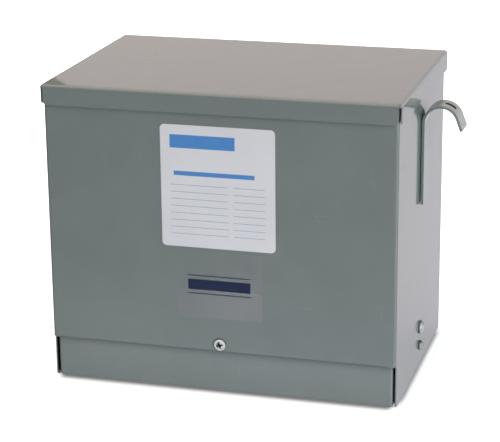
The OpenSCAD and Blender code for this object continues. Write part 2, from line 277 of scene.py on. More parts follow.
class Effects:
    """Shader node groups that several finishes share."""

    SCUFF_WAYS = ((1.0, 1.0, 0.06), (0.07, 0.3, 1.0))
    SCUFF_WIDTH = 0.012
    DUSTY_SLOPE = (0.55, 0.98)
    SHADED_SLOPE = (0.35, 0.8)
    SLOPE_SHADE = 0.85
    SUNK_DEPTH = (0.12 * MM, 0.45 * MM)
    SHADE_RAGGED = 0.3 * MM

    def __init__(self) -> None:
        """Builds every group once."""
        self.enamel_skin = self._enamel_skin()
        self.settled_dust = self._settled_dust()
        self.handling_marks = self._handling_marks()
        self.print_bars = self._print_bars()
        self.head_shade = self._head_shade()

    @staticmethod
    def _group(name: str, vectors: Sequence[str], values: Sequence[str],
               outputs: Sequence[str]) -> Tuple[Shade, Dict[str, Socket], bpy.types.Node]:
        """Starts a group.

        Args:
            name: the group's name.
            vectors: its vector inputs.
            values: its plain inputs.
            outputs: its outputs, all plain values.

        Returns:
            The group's tree, its inputs by name, and its output node.
        """
        tree = bpy.data.node_groups.new(name, "ShaderNodeTree")
        shade = Shade(tree)
        kinds = {**dict.fromkeys(vectors, "NodeSocketVector"), **dict.fromkeys(values, "NodeSocketFloat")}
        for label, kind in kinds.items():
            tree.interface.new_socket(name=label, in_out="INPUT", socket_type=kind)
        for label in outputs:
            tree.interface.new_socket(name=label, in_out="OUTPUT", socket_type="NodeSocketFloat")
        given = shade.add("NodeGroupInput")
        return shade, {label: given.outputs[label] for label in kinds}, shade.add("NodeGroupOutput")

    def _enamel_skin(self) -> bpy.types.NodeTree:
        """Sprayed enamel: broad cloudiness, and the height of its orange peel and of the sheet's waves.

        Returns:
            The group.
        """
        shade, given, out = self._group(
            "enamel_skin", ("Vector",), ("Peel Height", "Wave Height"), ("Cloud", "Height"))
        peel = shade.product(shade.noise(given["Vector"], PEEL), given["Peel Height"])
        wave = shade.product(shade.noise(given["Vector"], WAVES), given["Wave Height"])
        shade.fill(out, Cloud=shade.patches(given["Vector"], CLOUDS), Height=shade.math("ADD", peel, wave))
        return shade.tree

    def _settled_dust(self) -> bpy.types.NodeTree:
        """Dust on faces that look up, and grime close to the floor.

        Returns:
            The group.
        """
        shade, given, out = self._group("settled_dust", ("Vector",), ("Grime Top",), ("Dust", "Grime"))
        patches = shade.patches(given["Vector"], DUST_PATCHES)
        upward = shade.span(shade.upward(), *self.DUSTY_SLOPE)
        low = shade.span(shade.parts(given["Vector"])[2], given["Grime Top"], 0.0)
        shade.fill(out, Dust=shade.product(upward, patches), Grime=shade.product(low, patches))
        return shade.tree

    def _handling_marks(self) -> bpy.types.NodeTree:
        """Sparse hairline scuffs in two directions.

        Returns:
            The group.
        """
        shade, given, out = self._group("handling_marks", ("Vector",), ("Scale",), ("Marks",))
        areas = shade.patches(given["Vector"], SCUFFED_AREAS)
        total: Feed = 0.0
        for way in self.SCUFF_WAYS:
            lines = shade.noise(shade.stretch(given["Vector"], way), Grain(given["Scale"]))
            ridge = shade.span(shade.math("ABSOLUTE", shade.less(lines, 0.5)), self.SCUFF_WIDTH, 0.0)
            total = shade.math("MAXIMUM", total, shade.product(ridge, areas))
        shade.fill(out, Marks=total)
        return shade.tree

    def _head_shade(self) -> bpy.types.NodeTree:
        """Painted shade on a domed head where its surface lies under the dome's sphere, and a painted dark
        reflection on its upper side.

        Returns:
            The group.
        """
        shade, given, out = self._group("head_shade", ("Vector", "Centre"), ("Radius",), ("Grime",))
        ragged = shade.less(shade.noise(given["Vector"], SHADE_EDGE), 0.5)
        depth = shade.less(given["Radius"], shade.distance(given["Vector"], given["Centre"]))
        # Painted shade in the head's recess, where the surface lies under the dome's sphere.
        sunk = shade.span(shade.more(depth, ragged, self.SHADE_RAGGED), *self.SUNK_DEPTH)
        # Painted dark reflection on the faces of the head that look up.
        upper = shade.span(shade.upward(), *self.SHADED_SLOPE, 0.0, self.SLOPE_SHADE)
        shade.fill(out, Grime=shade.math("MAXIMUM", sunk, upper))
        return shade.tree

    def _print_bars(self) -> bpy.types.NodeTree:
        """Level bars, one at the foot of each pitch, inside a rectangle of X and Z.

        Returns:
            The group.
        """
        shade, given, out = self._group(
            "print_bars", ("Vector",), ("Left", "Right", "Bottom", "Top", "Pitch", "Bar"), ("Ink",))
        x, _, z = shade.parts(given["Vector"])
        rise = shade.math("FLOORED_MODULO", shade.less(z, given["Bottom"]), given["Pitch"])
        inside = shade.product(shade.within(x, given["Left"], given["Right"]),
                               shade.within(z, given["Bottom"], given["Top"]))
        shade.fill(out, Ink=shade.product(shade.math("LESS_THAN", rise, given["Bar"]), inside))
        return shade.tree


class Paint(Shade):
    """A material's tree, with the shared effects and the part's coordinates at hand."""

    def __init__(self, tree: bpy.types.NodeTree, effects: Effects) -> None:
        """Starts from an empty tree.

        Args:
            tree: the material's node tree.
            effects: the shared node groups.
        """
        super().__init__(tree)
        self.effects = effects
        self.at = self.place()

    def skin(self, peel: float, wave: float) -> Tuple[Socket, Socket]:
        """Gives a sprayed skin's cloudiness and relief, from the heights of its peel and waves."""
        skin = self.use(self.effects.enamel_skin, Vector=self.at, Peel_Height=peel, Wave_Height=wave)
        return skin["Cloud"], skin["Height"]

    def dirt(self, grime_top: float) -> Tuple[Socket, Socket]:
        """Gives settled dust, and grime up to a height."""
        dirt = self.use(self.effects.settled_dust, Vector=self.at, Grime_Top=grime_top)
        return dirt["Dust"], dirt["Grime"]

    def scuffs(self, scale: float) -> Socket:
        """Gives scuffs, at so many to the metre."""
        return self.use(self.effects.handling_marks, Vector=self.at, Scale=scale)["Marks"]

    def coat(self, colour: Feed, roughness: Feed, height: Feed, **others: Feed) -> None:
        """Adds the finish itself, from its colour, roughness, relief in metres and other inputs."""
        self.surface(self.fill(self.add("ShaderNodeBsdfPrincipled"), Base_Color=colour, Roughness=roughness,
                               Normal=self.bump(height), **others))


@dataclass(frozen=True, kw_only=True)
class Veil:
    """A thin layer over a finish: its share, its colour and the roughness that it adds."""

    share: float = 1.0
    colour: Colour = PAINTED_SHADE
    dulls: float = 0.0

    def lay(self, paint: Paint, mask: Feed, colour: Feed, rough: Feed) -> Tuple[Feed, Feed]:
        """Lays the layer over a finish.

        Args:
            paint: the material's tree.
            mask: 1 where the layer is.
            colour: the finish's colour.
            rough: the finish's roughness.

        Returns:
            Colour and roughness with the layer.
        """
        if self.dulls:
            rough = paint.more(rough, mask, self.dulls)
        return paint.mix(paint.product(mask, self.share), colour, self.colour), rough


@dataclass(frozen=True, kw_only=True)
class Mark(Veil):
    """A layer that has a place of its own on the part."""

    def where(self, paint: Paint) -> Feed:
        """Gives 1 on the mark and 0 elsewhere."""
        raise NotImplementedError


@dataclass(frozen=True, kw_only=True)
class Chip(Mark):
    """A spot where the enamel is thin and its primer shows."""

    centre: Point
    radius: float
    colour: Colour = (0.22, 0.12, 0.10)
    share: float = 0.4
    ragged: float = 0.6
    inner: float = 0.6
    outer: float = 1.3

    def where(self, paint: Paint) -> Feed:
        """Gives where the primer shows.

        Args:
            paint: the material's tree.

        Returns:
            1 in the spot's middle, with a ragged edge.
        """
        edge = paint.noise(paint.at, CHIP_EDGE)
        away = paint.more(paint.distance(paint.at, self.centre), edge, self.ragged * self.radius)
        return paint.span(away, self.outer * self.radius, self.inner * self.radius)


@dataclass(frozen=True, kw_only=True)
class Dome(Mark):
    """Painted shade in the recess of a fastener's domed head and a painted dark reflection on its upper
    side, given for the right-hand one of a pair.
    """

    centre: Point
    radius: float

    @classmethod
    def of(cls, node: str, carrier: str, facing: Facing, share: float = 1.0, dulls: float = 0.0,
           rim: float = 1.6 * MM) -> "Dome":
        """Works the sphere out from the fastener's box.

        Args:
            node: the fastener.
            carrier: the sheet that its head sits on.
            facing: the way that its head looks.
            share: how dark the painted shade is.
            dulls: roughness that the mark adds.
            rim: height of the straight rim under the crown.

        Returns:
            The dome.
        """
        axis, way = facing.value
        low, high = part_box(node)
        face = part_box(carrier)[1 if way > 0 else 0][axis]
        top = (high if way > 0 else low)[axis]
        half = (high.z - low.z) / 2
        crown = abs(top - face) - rim
        radius = (half * half + crown * crown) / (2 * crown)
        centre = [(a + b) / 2 for a, b in zip(low, high)]
        centre[axis] = top - way * radius
        return cls(centre=(centre[0], centre[1], centre[2]), radius=radius, share=share, dulls=dulls)

    def where(self, paint: Paint) -> Feed:
        """Gives where the head is painted darker, alike on both sides of the case.

        Args:
            paint: the material's tree.

        Returns:
            1 where the head is painted darker.
        """
        x, y, z = paint.parts(paint.at)
        folded = paint.add("ShaderNodeCombineXYZ", paint.math("ABSOLUTE", x), y, z).outputs[0]
        return paint.use(paint.effects.head_shade, Vector=folded, Centre=self.centre,
                         Radius=self.radius)["Grime"]


@dataclass(frozen=True, kw_only=True)
class Slit(Mark):
    """Painted shade on the walls of the slot through a hook's curl, given for the right-hand hook."""

    middle: Point
    lean: float
    run: float
    width: float
    slack: float = 0.2 * MM
    least_rise: float = 5 * MM

    def where(self, paint: Paint) -> Feed:
        """Gives where the slot's walls are, alike on both hooks.

        Args:
            paint: the material's tree.

        Returns:
            1 on the slot's walls.
        """
        x, y, z = paint.parts(paint.at)
        out = paint.less(paint.math("ABSOLUTE", x), self.middle[0])
        aside, up = paint.less(y, self.middle[1]), paint.less(z, self.middle[2])
        sine, cosine = math.sin(math.radians(self.lean)), math.cos(math.radians(self.lean))
        along = paint.less(paint.product(up, cosine), paint.product(out, sine))
        rise = paint.math("ADD", paint.product(out, cosine), paint.product(up, sine))
        past = paint.math("MAXIMUM", paint.less(paint.math("ABSOLUTE", along), self.run / 2), 0.0)
        inside = paint.math("LESS_THAN", paint.hypotenuse(past, aside), self.width / 2 + self.slack)
        return paint.product(inside, paint.math("GREATER_THAN", rise, self.least_rise))


@dataclass(frozen=True, kw_only=True)
class Crevice(Mark):
    """Painted shade in the narrow gap beside each end of the sill, given for the right-hand one."""

    inner_x: float
    outer_x: float
    back_y: float

    def where(self, paint: Paint) -> Feed:
        """Gives where the gap's walls are, alike at both ends.

        Args:
            paint: the material's tree.

        Returns:
            1 on the gap's walls.
        """
        x, y, _ = paint.parts(paint.at)
        between = paint.within(paint.math("ABSOLUTE", x), self.inner_x, self.outer_x)
        return paint.product(between, paint.math("LESS_THAN", y, self.back_y))


@dataclass(frozen=True, kw_only=True)
class SeatShadow(Mark):
    """A painted shadow in a ring on the front round a middle, such as round a screw's head, most on its
    upper left.
    """

    centre: Tuple[float, float]
    head: float
    reach: float
    colour: Colour = (0.045, 0.042, 0.036)
    share: float = 0.8
    upward: float = 0.25
    lit_side: float = -0.4
    shaded_side: float = 0.9
    least: float = 0.1

    def where(self, paint: Paint) -> Feed:
        """Gives how much painted shadow lies on the front.

        Args:
            paint: the material's tree.

        Returns:
            The share of painted shadow, most at the head's rim.
        """
        x, y, z = paint.parts(paint.at)
        across, up = paint.less(x, self.centre[0]), paint.less(z, self.centre[1])
        ring = paint.span(paint.hypotenuse(across, up), self.head, self.head + self.reach, 1.0, 0.0)
        lean = paint.less(paint.product(up, self.upward), across)
        side = paint.span(lean, self.lit_side * self.head, self.shaded_side * self.head, self.least, 1.0)
        return paint.product(ring, side, paint.math("LESS_THAN", y, 0.0))


@dataclass(frozen=True, kw_only=True)
class LipShadow(Mark):
    """A painted shadow on the sill close under the cover's lower edge."""

    top_z: float
    reach: float
    back_y: float
    colour: Colour = (0.05, 0.062, 0.070)
    share: float = 0.42
    line_reach: float = 0.3
    line_share: float = 0.3

    def where(self, paint: Paint) -> Feed:
        """Gives how much painted shadow lies on the sill.

        Args:
            paint: the material's tree.

        Returns:
            The share of painted shadow, most at the lip.
        """
        _, y, z = paint.parts(paint.at)
        # Painted shadow of the cover's lip: soft, with a darker line right under the edge.
        soft = paint.span(z, self.top_z - self.reach, self.top_z)
        line = paint.span(z, self.top_z - self.line_reach * self.reach, self.top_z)
        both = paint.more(paint.product(soft, 1.0 - self.line_share), line, self.line_share)
        return paint.product(both, paint.math("LESS_THAN", y, self.back_y))


@dataclass(frozen=True)
class CornerDrop:
    """A top corner of the lid that was knocked down a little."""

    corner: Tuple[float, float]
    run_x: float
    run_y: float
    depth: float
    level: float = 0.97

    def depth_at(self, paint: Paint) -> Feed:
        """Gives how far the knocked corner lies under the lid's plane.

        Args:
            paint: the material's tree.

        Returns:
            The depth in metres, most at the corner.
        """
        x, y, _ = paint.parts(paint.at)
        across = paint.math("DIVIDE", paint.less(x, self.corner[0]), self.run_x)
        back = paint.math("DIVIDE", paint.less(y, self.corner[1]), self.run_y)
        on_top = paint.math("GREATER_THAN", paint.upward(), self.level)
        return paint.product(on_top, paint.span(paint.math("ADD", across, back), 0.0, 1.0, self.depth, 0.0))


def new_material(name: str) -> bpy.types.Material:
    """Starts a material.

    Args:
        name: its name.

    Returns:
        The material, with nodes.
    """
    made = bpy.data.materials.new(name)
    made.use_nodes = True
    return made


@dataclass(frozen=True)
class Finish:
    """A material of the part."""

    name: str

    def material(self, effects: Effects) -> bpy.types.Material:
        """Builds the material.

        Args:
            effects: the shared node groups.

        Returns:
            The material.
        """
        made = new_material(self.name)
        self.apply(Paint(made.node_tree, effects))
        return made

    def apply(self, paint: Paint) -> None:
        """Builds the finish in a material's tree."""
        raise NotImplementedError


@dataclass(frozen=True)
class Enamel(Finish):
    """Baked semi-gloss grey enamel on steel."""

    colour: Colour = (0.137, 0.170, 0.167)
    roughness: float = 0.11
    drop: Optional[CornerDrop] = None
    marks: Tuple[Mark, ...] = ()
    streak: float = 0.0
    streak_share: float = 0.7
    streak_run: Point = (1.0, 1.0, 0.08)
    warm_way: Colour = (1.0, 0.6, 0.6)
    cool_way: Colour = (1.0, 0.7, 0.4)
    cloudy: float = 0.035
    cloud_gloss: float = 0.025
    refraction: float = 1.5
    peel_height: float = 5e-6
    wave_height: float = 6e-5
    scuff_scale: float = 60.0
    grime_top: float = 50 * MM
    dust: Veil = Veil(share=0.05, colour=(0.34, 0.31, 0.27), dulls=0.03)
    grime: Veil = Veil(share=0.12, colour=(0.10, 0.095, 0.085))
    scuffs: Veil = Veil(share=0.10, colour=(0.30, 0.32, 0.31), dulls=0.12)

    def apply(self, paint: Paint) -> None:
        """Builds the enamel with its dirt, and with its marks, which are chips and painted shade.

        Args:
            paint: the material's tree.
        """
        cloud, height = paint.skin(self.peel_height, self.wave_height)
        dust, grime = paint.dirt(self.grime_top)
        scuffs = paint.scuffs(self.scuff_scale)
        colour = paint.mix(cloud, tinted(self.colour, -self.cloudy), tinted(self.colour, self.cloudy))
        rough = paint.more(self.roughness, cloud, self.cloud_gloss)
        if self.streak:
            runs = paint.patches(paint.stretch(paint.at, self.streak_run), RUNS)
            warm = tinted(self.colour, self.streak, self.warm_way)
            cool = tinted(self.colour, -self.streak, self.cool_way)
            colour = paint.mix(self.streak_share, colour, paint.mix(runs, cool, warm))
        for veil, mask in ((self.dust, dust), (self.grime, grime), (self.scuffs, scuffs)):
            colour, rough = veil.lay(paint, mask, colour, rough)
        for mark in self.marks:
            colour, rough = mark.lay(paint, mark.where(paint), colour, rough)
        if self.drop:
            height = paint.less(height, self.drop.depth_at(paint))
        paint.coat(colour, rough, height, IOR=self.refraction)


@dataclass(frozen=True)
class ZincPlate(Finish):
    """Bright zinc on a cold-headed fastener."""

    bright: Colour = (0.62, 0.685, 0.645)
    dull: Colour = (0.42, 0.45, 0.47)
    marks: Tuple[Mark, ...] = ()
    stain: float = 0.5
    roughness: float = 0.15
    spangle_gloss: float = 0.10
    spangle_height: float = 8e-6
    scuff_scale: float = 900.0
    scuff_gloss: float = 0.2

    def apply(self, paint: Paint) -> None:
        """Builds the plate with its stains and its marks of painted shade.

        Args:
            paint: the material's tree.
        """
        spangle = paint.patches(paint.at, SPANGLE)
        stained = paint.product(paint.patches(paint.at, STAINS), self.stain)
        colour: Feed = paint.mix(stained, self.bright, self.dull)
        rough: Feed = paint.more(self.roughness, spangle, self.spangle_gloss)
        for mark in self.marks:
            colour, rough = mark.lay(paint, mark.where(paint), colour, rough)
        rough = paint.more(rough, paint.scuffs(self.scuff_scale), self.scuff_gloss)
        paint.coat(colour, rough, paint.product(spangle, self.spangle_height), Metallic=1.0)


@dataclass(frozen=True)
class CastResin(Finish):
    """Dark resin filled with sand, poured round the core."""

    binder: Colour = (0.014, 0.013, 0.013)
    sand: Colour = (0.045, 0.040, 0.034)
    gloss: Tuple[float, float] = (0.45, 0.8)
    sand_height: float = 1.2e-4
    grime_top: float = 80 * MM
    dust: Veil = Veil(share=0.3, colour=(0.16, 0.15, 0.13))

    def apply(self, paint: Paint) -> None:
        """Builds the resin.

        Args:
            paint: the material's tree.
        """
        grains = paint.patches(paint.at, SAND)
        dust, _ = paint.dirt(self.grime_top)
        rough = paint.span(grains, 0.0, 1.0, *self.gloss)
        colour, rough = self.dust.lay(paint, dust, paint.mix(grains, self.binder, self.sand), rough)
        paint.coat(colour, rough, paint.product(grains, self.sand_height))


@dataclass(frozen=True)
class Bars:
    """A block of level printed bars, in millimetres on the front."""

    left: float
    right: float
    bottom: float
    top: float
    pitch: float
    bar: float

    def ink(self, paint: Paint) -> Socket:
        """Gives 1 on the block's ink and 0 elsewhere."""
        return paint.use(paint.effects.print_bars, Vector=paint.at, Left=self.left * MM,
                         Right=self.right * MM, Bottom=self.bottom * MM, Top=self.top * MM,
                         Pitch=self.pitch * MM, Bar=self.bar * MM)["Ink"]


@dataclass(frozen=True)
class PrintedVinyl(Finish):
    """White vinyl with plain blue bars and ruled fields."""

    heads: Tuple[Bars, ...]
    fields: Tuple[Bars, ...]
    white: Colour = (0.64, 0.655, 0.70)
    blue: Colour = (0.02, 0.19, 0.52)
    rule: Colour = (0.20, 0.30, 0.48)
    faded: float = 0.04
    thinnest_ink: float = 0.8
    gloss: Tuple[float, float] = (0.30, 0.36)
    peel_height: float = 2e-6
    wave_height: float = 2e-5
    scuff_scale: float = 110.0
    scuffs: Veil = Veil(share=0.06, colour=(0.45, 0.44, 0.42))

    def apply(self, paint: Paint) -> None:
        """Builds the printed vinyl.

        Args:
            paint: the material's tree.
        """
        cloud, height = paint.skin(self.peel_height, self.wave_height)
        colour = paint.mix(cloud, tinted(self.white, -self.faded), self.white)
        laid = paint.patches(paint.at, THIN_INK, self.thinnest_ink)
        for bars, ink in ((self.heads, self.blue), (self.fields, self.rule)):
            for block in bars:
                colour = paint.mix(paint.product(block.ink(paint), laid), colour, ink)
        rough = paint.span(cloud, 0.0, 1.0, *self.gloss)
        paint.coat(*self.scuffs.lay(paint, paint.scuffs(self.scuff_scale), colour, rough), height)


@dataclass(frozen=True)
class ClearFilm(Finish):
    """Clear film, cloudier in its lower half, with one plain dark blue band between two rules."""

    bands: Tuple[Bars, ...]
    tint: Colour = (0.36, 0.375, 0.40)
    navy: Colour = (0.008, 0.016, 0.055)
    body: Tuple[float, float] = (0.098, 0.182)
    cloudy_z: float = 122 * MM
    cloud_edge: float = 1.5 * MM
    lower_to_upper: Tuple[float, float] = (1.25, 0.6)
    half_width: float = 40 * MM
    left_to_right: Tuple[float, float] = (0.8, 1.45)
    ink_body: float = 0.96
    gloss: Tuple[float, float] = (0.20, 0.27)
    shine: float = 0.2
    peel_height: float = 3e-6
    wave_height: float = 4e-5

    def apply(self, paint: Paint) -> None:
        """Builds the film.

        Args:
            paint: the material's tree.
        """
        cloud, height = paint.skin(self.peel_height, self.wave_height)
        ink: Feed = 0.0
        for band in self.bands:
            ink = paint.math("MAXIMUM", ink, band.ink(paint))
        x, _, z = paint.parts(paint.at)
        haze = paint.product(
            paint.span(cloud, 0.0, 1.0, *self.body),
            paint.span(z, self.cloudy_z - self.cloud_edge, self.cloudy_z + self.cloud_edge,
                       *self.lower_to_upper),
            paint.span(x, -self.half_width, self.half_width, *self.left_to_right))
        alpha = paint.math("MAXIMUM", haze, paint.product(ink, self.ink_body))
        paint.coat(paint.mix(ink, self.tint, self.navy), paint.span(cloud, 0.0, 1.0, *self.gloss), height,
                   Alpha=alpha, Specular_IOR_Level=self.shine)


def dress(node: str, material: bpy.types.Material, edge: float, segments: int = 2,
          seam: float = 2e-6, sharp: float = 35.0, face_weight: int = 100) -> None:
    """Gives a CAD node its finish and soft edges.

    Args:
        node: the CAD node.
        material: its finish.
        edge: radius of the soft edges.
        segments: faces across an edge.
        seam: points closer than this are one.
        sharp: edges that turn by more degrees than this are softened.
        face_weight: how much large faces hold their own normals.
    """
    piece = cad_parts[node]
    piece.data.materials.clear()
    piece.data.materials.append(material)
    piece.data.polygons.foreach_set("material_index", [0] * len(piece.data.polygons))
    piece.data.polygons.foreach_set("use_smooth", [True] * len(piece.data.polygons))
    weld = piece.modifiers.new("join_seams", "WELD")
    weld.merge_threshold = seam
    bevel = piece.modifiers.new("soft_edges", "BEVEL")
    bevel.width = edge
    bevel.segments = segments
    bevel.limit_method = "ANGLE"
    bevel.angle_limit = math.radians(sharp)
    bevel.use_clamp_overlap = True
    bevel.miter_outer = "MITER_ARC"
    normals = piece.modifiers.new("even_normals", "WEIGHTED_NORMAL")
    normals.weight = face_weight
    LOG.info("%s: %s", node, material.name)


def screw_middle() -> Tuple[float, float]:
    """Gives the middle of the cover's screw in X and Z."""
    low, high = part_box("cover_screw")
    return (low.x + high.x) / 2, (low.z + high.z) / 2


@dataclass
class SheetCase:
    """The folded case: pan, walls, cover and lid, with their knocks, dirt and painted shade."""

    edge: float = 0.3 * MM
    # A lighter copy of the case enamel for the pan: painted light that stands in for light bounced up from
    # the floor onto the sill.
    pan_lit_colour: Colour = (0.155, 0.188, 0.186)
    wall_streak: float = 0.07
    drop_run: Tuple[float, float] = (40 * MM, 46 * MM)
    drop_depth: float = 8 * MM
    chip_in: Point = (5 * MM, 1 * MM, 4 * MM)
    chip_radius: float = 3.5 * MM
    gap_inner: float = 4.1 * MM
    gap_outer: float = 1.4 * MM
    gap_depth: float = 14 * MM
    lip_drop: float = 1 * MM
    lip_reach: float = 10 * MM
    lip_depth: float = 8 * MM
    seat_reach: float = 3.6 * MM

    def paints(self) -> Tuple[Tuple[Enamel, Tuple[str, ...]], ...]:
        """Sets the knocks and the painted shade where the solids are.

        Returns:
            Each paint, and the sheets that have it.
        """
        low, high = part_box("lid")
        drop = CornerDrop((low.x, low.y), *self.drop_run, self.drop_depth)
        chip = Chip(centre=(high.x - self.chip_in[0], low.y + self.chip_in[1], high.z - self.chip_in[2]),
                    radius=self.chip_radius)
        wall_x, sill_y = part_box("right_wall")[1].x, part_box("base_pan")[0].y
        # Painted shade in the gaps between the sill's ends and the walls.
        crevice = Crevice(inner_x=wall_x - self.gap_inner, outer_x=wall_x - self.gap_outer,
                          back_y=sill_y + self.gap_depth)
        # Painted shadow of the cover's lower edge on the sill.
        lip = LipShadow(top_z=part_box("front_cover")[0].z - self.lip_drop, reach=self.lip_reach,
                      back_y=sill_y + self.lip_depth)
        low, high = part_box("cover_screw")
        # Painted shadow of the screw's head on the cover, most on its upper left.
        seat = SeatShadow(centre=screw_middle(), head=(high.z - low.z) / 2, reach=self.seat_reach)
        wall = Enamel("wall_enamel", streak=self.wall_streak, marks=(crevice,))
        return ((Enamel("case_enamel", marks=(seat,)), ("back_wall", "front_cover")),
                (Enamel("pan_enamel", self.pan_lit_colour, marks=(lip, crevice)), ("base_pan",)),
                (wall, ("left_wall", "right_wall")),
                (Enamel("lid_enamel", drop=drop, marks=(chip,)), ("lid",)))

    def dress(self, effects: Effects) -> None:
        """Paints the sheets.

        Args:
            effects: the shared node groups.
        """
        for paint, nodes in self.paints():
            coat = paint.material(effects)
            for node in nodes:
                dress(node, coat, self.edge)


@dataclass
class LiftingHooks:
    """The bent-strap hooks on the side walls."""

    edge: float = 0.45 * MM
    edge_faces: int = 3
    colour: Colour = (0.168, 0.208, 0.199)
    roughness: float = 0.14
    curl_out: float = 22 * MM
    curl_down: float = 21 * MM
    slot_lean: float = 65.0
    slot_run: float = 7 * MM
    slot_width: float = 7 * MM

    def dress(self, effects: Effects) -> None:
        """Paints both hooks, with painted shade on the walls of their slots.

        Args:
            effects: the shared node groups.
        """
        low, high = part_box("right_hook")
        middle = (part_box("right_wall")[1].x + self.curl_out, (low.y + high.y) / 2, high.z - self.curl_down)
        # Painted shade on the walls of each hook's slot.
        slit = Slit(middle=middle, lean=self.slot_lean, run=self.slot_run, width=self.slot_width)
        coat = Enamel("hook_enamel", self.colour, self.roughness, marks=(slit,)).material(effects)
        for node in ("left_hook", "right_hook"):
            dress(node, coat, self.edge, self.edge_faces)


@dataclass
class Fasteners:
    """The cover's screw, the side bolts and their nuts."""

    edge: float = 0.2 * MM
    bolt_bright: Colour = (0.49, 0.55, 0.56)
    # The lower bolts' enamel is far lighter than the case's: a painted reflection that stands in for the
    # bright grazing sheen that the wall beside them shows.
    lower_bolt_lit_colour: Colour = (0.34, 0.38, 0.375)
    paint_roughness: float = 0.2
    screw_dulls: float = 0.4
    bolt_shade: float = 0.85
    bolt_dulls: float = 0.34
    shade_inner: float = 3 * MM
    shade_reach: float = 2.4 * MM
    shade_share: float = 0.75

    def dress(self, effects: Effects) -> None:
        """Plates or paints every fastener.

        Args:
            effects: the shared node groups.
        """
        # Painted shade in a ring on the screw's own head, most on its upper left.
        screw_head_shade = SeatShadow(centre=screw_middle(), head=self.shade_inner, reach=self.shade_reach,
                        share=self.shade_share)
        # Each dome lays painted shade in the head's recess and a painted dark reflection on its upper side.
        screw_dome = Dome.of("cover_screw", "front_cover", Facing.FRONT, dulls=self.screw_dulls)
        upper_dome = Dome.of("right_upper_bolt", "right_wall", Facing.RIGHT, self.bolt_shade, self.bolt_dulls)
        lower_dome = Dome.of("right_lower_bolt", "right_wall", Facing.RIGHT)
        lower = Enamel("bolt_enamel", self.lower_bolt_lit_colour, self.paint_roughness, marks=(lower_dome,))
        zinc = ZincPlate("zinc_plate").material(effects)
        upper_coat = ZincPlate("bolt_zinc", self.bolt_bright, marks=(upper_dome,)).material(effects)
        lower_coat = lower.material(effects)
        dress("cover_screw", ZincPlate("screw_zinc", marks=(screw_dome, screw_head_shade)).material(effects), self.edge)
        dress("cover_nut", zinc, self.edge)
        for side in ("left", "right"):
            dress(f"{side}_upper_bolt", upper_coat, self.edge)
            dress(f"{side}_lower_bolt", lower_coat, self.edge)
            dress(f"{side}_upper_nut", zinc, self.edge)
            dress(f"{side}_lower_nut", zinc, self.edge)


@dataclass
class Core:
    """The potted core and what carries it."""

    edge: float = 0.3 * MM
    cast_edge: float = 1.2 * MM
    roughness: float = 0.2

    def dress(self, effects: Effects) -> None:
        """Finishes the block, its shelf and its angles.

        Args:
            effects: the shared node groups.
        """
        dress("potted_core", CastResin("cast_resin").material(effects), self.cast_edge)
        coat = Enamel("angle_enamel", roughness=self.roughness).material(effects)
        for node in ("left_core_angle", "right_core_angle", "core_shelf"):
            dress(node, coat, self.edge)


@dataclass
class FlatLabel:
    """A thin label with round corners, stuck on the cover."""

    name: str
    finish: Finish
    slot: Slot
    left: float
    right: float
    bottom: float
    top: float
    corner: float
    thickness: float
    seat_gap: float = 0.02 * MM
    rim_share: float = 0.35
    steps: int = 8

    def outline(self, inset: float) -> List[Tuple[float, float]]:
        """Gives the outline in X and Z.

        Args:
            inset: how far it is drawn in at the middle of each side.

        Returns:
            Points round the label, anticlockwise as seen from the front.
        """
        corners = ((self.right, self.bottom, -90.0, -1, 1), (self.right, self.top, 0.0, -1, -1),
                   (self.left, self.top, 90.0, 1, -1), (self.left, self.bottom, 180.0, 1, 1))
        middle_x, middle_z = (self.left + self.right) / 2, (self.bottom + self.top) / 2
        scale_x = 1 - inset / ((self.right - self.left) / 2)
        scale_z = 1 - inset / ((self.top - self.bottom) / 2)
        points = []
        for x, z, start, way_x, way_z in corners:
            for step in range(self.steps + 1):
                angle = math.radians(start + 90.0 * step / self.steps)
                out_x = x + way_x * self.corner + self.corner * math.cos(angle) - middle_x
                out_z = z + way_z * self.corner + self.corner * math.sin(angle) - middle_z
                points.append((middle_x + out_x * scale_x, middle_z + out_z * scale_z))
        return points

    def build(self, effects: Effects) -> bpy.types.Object:
        """Makes the label on the face of the cover.

        Args:
            effects: the shared node groups.

        Returns:
            The label.
        """
        seat_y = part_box("front_cover")[0].y - self.seat_gap
        face_y = seat_y - self.thickness
        rim = self.rim_share * self.thickness
        shape = bmesh.new()
        rings = [[shape.verts.new((x, y, z)) for x, z in self.outline(inset)]
                 for y, inset in ((seat_y, 0.0), (face_y + rim, 0.0), (face_y, rim))]
        count = len(rings[0])
        for low, high in zip(rings, rings[1:]):
            for i in range(count):
                j = (i + 1) % count
                shape.faces.new((low[i], low[j], high[j], high[i]))
        shape.faces.new(rings[-1])
        shape.faces.new(list(reversed(rings[0])))
        bmesh.ops.recalc_face_normals(shape, faces=shape.faces)
        mesh = bpy.data.meshes.new(self.name)
        shape.to_mesh(mesh)
        shape.free()
        mesh.materials.append(self.finish.material(effects))
        piece = bpy.data.objects.new(self.name, mesh)
        bpy.context.scene.collection.objects.link(piece)
        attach(piece, BODY)
        LOG.info("%s: %d faces", self.name, len(mesh.polygons))
        return piece


@dataclass
class Softbox:
    """A flat lamp aimed at a point, which gloss doesn't show."""

    name: str
    place: Point
    aim: Point
    size: Tuple[float, float]
    power: float
    colour: Colour = WHITE

    def build(self) -> None:
        """Makes the lamp."""
        lamp = bpy.data.lights.new(self.name, "AREA")
        lamp.shape = "RECTANGLE"
        lamp.size, lamp.size_y = self.size
        lamp.energy = self.power
        lamp.color = self.colour
        made = bpy.data.objects.new(self.name, lamp)
        made.location = self.place
        made.rotation_euler = (Vector(self.aim) - Vector(self.place)).to_track_quat("-Z", "Y").to_euler()
        made.visible_camera = False
        made.visible_glossy = False
        bpy.context.scene.collection.objects.link(made)


